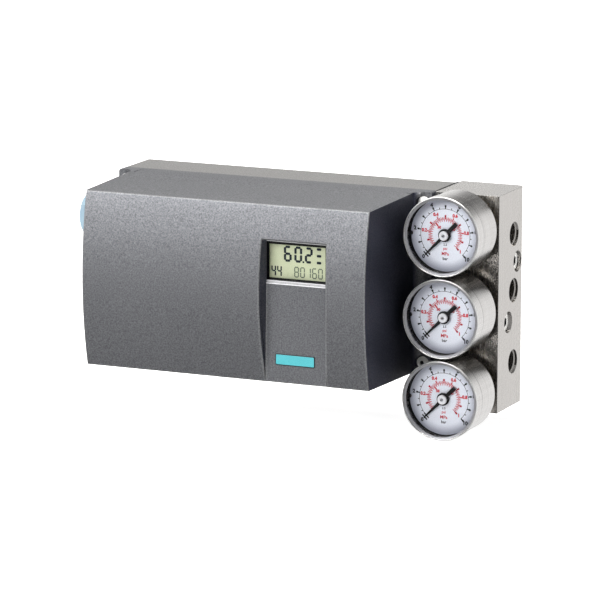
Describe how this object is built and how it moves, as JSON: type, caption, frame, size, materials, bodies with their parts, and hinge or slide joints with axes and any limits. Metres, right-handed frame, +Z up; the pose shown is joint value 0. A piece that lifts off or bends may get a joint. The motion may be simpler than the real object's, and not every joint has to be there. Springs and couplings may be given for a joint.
{
  "type": "valve positioner with gauge block",
  "caption": "Electro-pneumatic valve positioner with a bowed dark cover, small display window, rear feedback shaft and a steel side block carrying round pressure gauges.",
  "frame": {"origin": "the feedback shaft's axis where it leaves the rear mounting face", "axes": "+X right seen from the front, +Y to the rear along the feedback shaft, +Z up"},
  "size_m": [0.2536, 0.1183, 0.1304],
  "materials": {
    "base_shell": "fine-grained, moulded",
    "cover_shell": "dark grey with a metallic grain",
    "seal_rubber": "matt",
    "bright_screw": "bright zinc",
    "clear_pane": "clear",
    "lcd": "pale green-grey display",
    "black_plastic": "matt",
    "grey_plastic": "matt",
    "green_board": "solder mask",
    "white_plastic": "matt",
    "plated_plate": "plated",
    "brass": "turned",
    "bronze": "sintered",
    "yellow_plastic": "matt",
    "blue_plastic": "satin",
    "cast_alloy": "as cast",
    "block_steel": "ground stainless",
    "gauge_steel": "brushed stainless",
    "gauge_glass": "clear",
    "dial_white": "white",
    "pointer_black": "black"
  },
  "bodies": {
    "positioner": {"housing_base": "base_shell", "front_cover": "cover_shell", "cover_gasket": "seal_rubber", "gland_seal": "seal_rubber", "port_seals": "seal_rubber", "cover_screws": "bright_screw", "manifold_screws": "bright_screw", "block_screws": "bright_screw", "display_window": "clear_pane", "lcd_glass": "lcd", "lcd_frame": "black_plastic", "module_cover": "black_plastic", "pilot_valves": "black_plastic", "blanking_plug": "black_plastic", "module_housing": "grey_plastic", "main_board": "green_board", "terminal_strip": "green_board", "mechanism_plate": "plated_plate", "shaft_bushes": "brass", "mount_inserts": "brass", "exhaust_silencer": "bronze", "gland_body": "blue_plastic", "gland_nut": "blue_plastic", "potentiometer": "blue_plastic", "pneumatic_manifold": "cast_alloy", "gauge_block": "block_steel", "upper_gauge_case": "gauge_steel", "upper_gauge_lens": "gauge_glass", "upper_gauge_dial": "dial_white", "upper_gauge_tube": "brass", "upper_gauge_movement": "brass", "middle_gauge_case": "gauge_steel", "middle_gauge_lens": "gauge_glass", "middle_gauge_dial": "dial_white", "middle_gauge_tube": "brass", "middle_gauge_movement": "brass", "lower_gauge_case": "gauge_steel", "lower_gauge_lens": "gauge_glass", "lower_gauge_dial": "dial_white", "lower_gauge_tube": "brass", "lower_gauge_movement": "brass"},
    "shaft": {"feedback_shaft": "plated_plate", "shaft_gear": "white_plastic", "clutch_spring": "plated_plate", "shaft_clip": "plated_plate"},
    "clutch": {"clutch_wheel": "yellow_plastic"},
    "pot_rotor": {"pot_pinion": "white_plastic"},
    "left_button": {"button_left": "white_plastic"},
    "middle_button": {"button_middle": "white_plastic"},
    "right_button": {"button_right": "white_plastic"},
    "upper_restrictor": {"restrictor_upper": "brass"},
    "lower_restrictor": {"restrictor_lower": "brass"},
    "upper_needle": {"upper_gauge_pointer": "pointer_black"},
    "upper_sector": {"upper_gauge_sector": "brass"},
    "middle_needle": {"middle_gauge_pointer": "pointer_black"},
    "middle_sector": {"middle_gauge_sector": "brass"},
    "lower_needle": {"lower_gauge_pointer": "pointer_black"},
    "lower_sector": {"lower_gauge_sector": "brass"}
  },
  "joints": [
    {"name": "shaft_turn", "type": "hinge", "parent": "positioner", "child": "shaft", "pos_m": [0, 0, 0], "axis": [0, 1, 0], "range_deg": [-50, 50]},
    {"name": "clutch_turn", "type": "hinge", "parent": "shaft", "child": "clutch", "pos_m": [0, -0.033, 0], "axis": [0, 1, 0], "continuous": true},
    {"name": "pot_turn", "type": "hinge", "parent": "positioner", "child": "pot_rotor", "pos_m": [-0.032, -0.02, 0], "axis": [0, 1, 0], "range_deg": [-150, 150]},
    {"name": "left_press", "type": "slide", "parent": "positioner", "child": "left_button", "axis": [0, 1, 0], "range_m": [0, 0.0008], "stiffness_N_per_m": 900},
    {"name": "middle_press", "type": "slide", "parent": "positioner", "child": "middle_button", "axis": [0, 1, 0], "range_m": [0, 0.0008], "stiffness_N_per_m": 900},
    {"name": "right_press", "type": "slide", "parent": "positioner", "child": "right_button", "axis": [0, 1, 0], "range_m": [0, 0.0008], "stiffness_N_per_m": 900},
    {"name": "upper_restrictor_turn", "type": "hinge", "parent": "positioner", "child": "upper_restrictor", "pos_m": [0.0715, -0.025, 0.03], "axis": [0, 1, 0], "range_deg": [0, 720]},
    {"name": "lower_restrictor_turn", "type": "hinge", "parent": "positioner", "child": "lower_restrictor", "pos_m": [0.0715, -0.025, -0.03], "axis": [0, 1, 0], "range_deg": [0, 720]},
    {"name": "upper_sector_turn", "type": "hinge", "parent": "positioner", "child": "upper_sector", "pos_m": [0.10085, -0.0515, 0.0314], "axis": [0, 1, 0], "range_deg": [-56.25, 0], "stiffness_Nm_per_rad": 0.0005, "springref_deg": 20.05},
    {"name": "upper_needle_turn", "type": "hinge", "parent": "positioner", "child": "upper_needle", "pos_m": [0.10955, -0.0575, 0.0314], "axis": [0, 1, 0], "range_deg": [0, 270]},
    {"name": "middle_sector_turn", "type": "hinge", "parent": "positioner", "child": "middle_sector", "pos_m": [0.10085, -0.0515, -0.0125], "axis": [0, 1, 0], "range_deg": [-56.25, 0], "stiffness_Nm_per_rad": 0.0005, "springref_deg": 20.05},
    {"name": "middle_needle_turn", "type": "hinge", "parent": "positioner", "child": "middle_needle", "pos_m": [0.10955, -0.0575, -0.0125], "axis": [0, 1, 0], "range_deg": [0, 270]},
    {"name": "lower_sector_turn", "type": "hinge", "parent": "positioner", "child": "lower_sector", "pos_m": [0.10085, -0.0515, -0.0564], "axis": [0, 1, 0], "range_deg": [-56.25, 0], "stiffness_Nm_per_rad": 0.0005, "springref_deg": 20.05},
    {"name": "lower_needle_turn", "type": "hinge", "parent": "positioner", "child": "lower_needle", "pos_m": [0.10955, -0.0575, -0.0564], "axis": [0, 1, 0], "range_deg": [0, 270]}
  ],
  "couplings": [
    {"joint": "pot_turn", "follows": "shaft_turn", "ratio": -3},
    {"joint": "upper_needle_turn", "follows": "upper_sector_turn", "ratio": -4.8},
    {"joint": "middle_needle_turn", "follows": "middle_sector_turn", "ratio": -4.8},
    {"joint": "lower_needle_turn", "follows": "lower_sector_turn", "ratio": -4.8}
  ]
}
